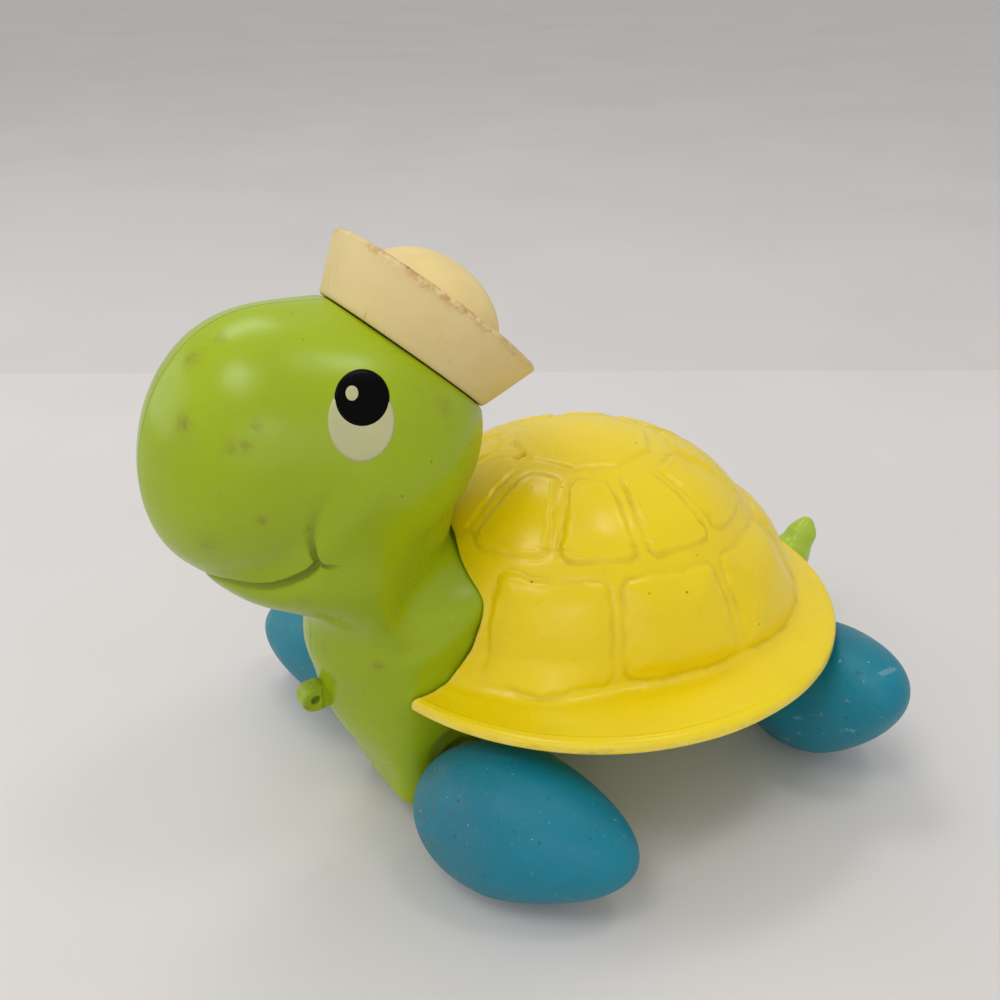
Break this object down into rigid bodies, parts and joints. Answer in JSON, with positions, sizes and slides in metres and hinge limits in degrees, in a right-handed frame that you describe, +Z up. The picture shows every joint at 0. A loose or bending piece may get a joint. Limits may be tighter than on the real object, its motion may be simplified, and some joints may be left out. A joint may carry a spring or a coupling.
{
  "type": "wheeled pull toy",
  "caption": "Turtle-shaped pull toy with a domed shell, a tilted hat, a tow eye and egg-shaped feet set askew on turning axles, so that it waddles when it is pulled along.",
  "frame": {"origin": "middle of the overall length and width, on the floor that the feet stand on", "axes": "+X forward, the way the head and tow eye point; +Y to the toy's left; +Z up"},
  "size_m": [0.261, 0.1896, 0.1997],
  "materials": {
    "body_green": "hard moulded plastic, yellow-green, glossy and hand-worn",
    "carapace_yellow": "soft vinyl, warm yellow, semi-gloss, scuffed along the rim",
    "hat_cream": "yellowed vinyl, dull, worn brown at the brim",
    "foot_blue": "blow-moulded vinyl, petrol blue, dull and scuffed where it rolls",
    "hub_plastic": "plain moulded plastic, off-white",
    "bush_nylon": "plain nylon, off-white",
    "axle_steel": "bright drawn steel rod"
  },
  "bodies": {
    "body": {"body_left": "body_green", "body_right": "body_green", "carapace": "carapace_yellow", "hat": "hat_cream", "tow_eye": "body_green", "tail": "body_green", "bush_front_left": "bush_nylon", "bush_front_right": "bush_nylon", "bush_rear_left": "bush_nylon", "bush_rear_right": "bush_nylon"},
    "front_wheelset": {"axle_front": "axle_steel", "foot_front_left": "foot_blue", "foot_front_right": "foot_blue", "hub_front_left": "hub_plastic", "hub_front_right": "hub_plastic", "washer_front_left": "axle_steel", "washer_front_right": "axle_steel"},
    "rear_wheelset": {"axle_rear": "axle_steel", "foot_rear_left": "foot_blue", "foot_rear_right": "foot_blue", "hub_rear_left": "hub_plastic", "hub_rear_right": "hub_plastic", "washer_rear_left": "axle_steel", "washer_rear_right": "axle_steel"}
  },
  "joints": [
    {"name": "front_axle_turn", "type": "hinge", "parent": "body", "child": "front_wheelset", "pos_m": [0.04555, 0, 0.024], "axis": [0, 1, 0], "continuous": true},
    {"name": "rear_axle_turn", "type": "hinge", "parent": "body", "child": "rear_wheelset", "pos_m": [-0.08435, 0, 0.02704], "axis": [0, 1, 0], "continuous": true}
  ]
}
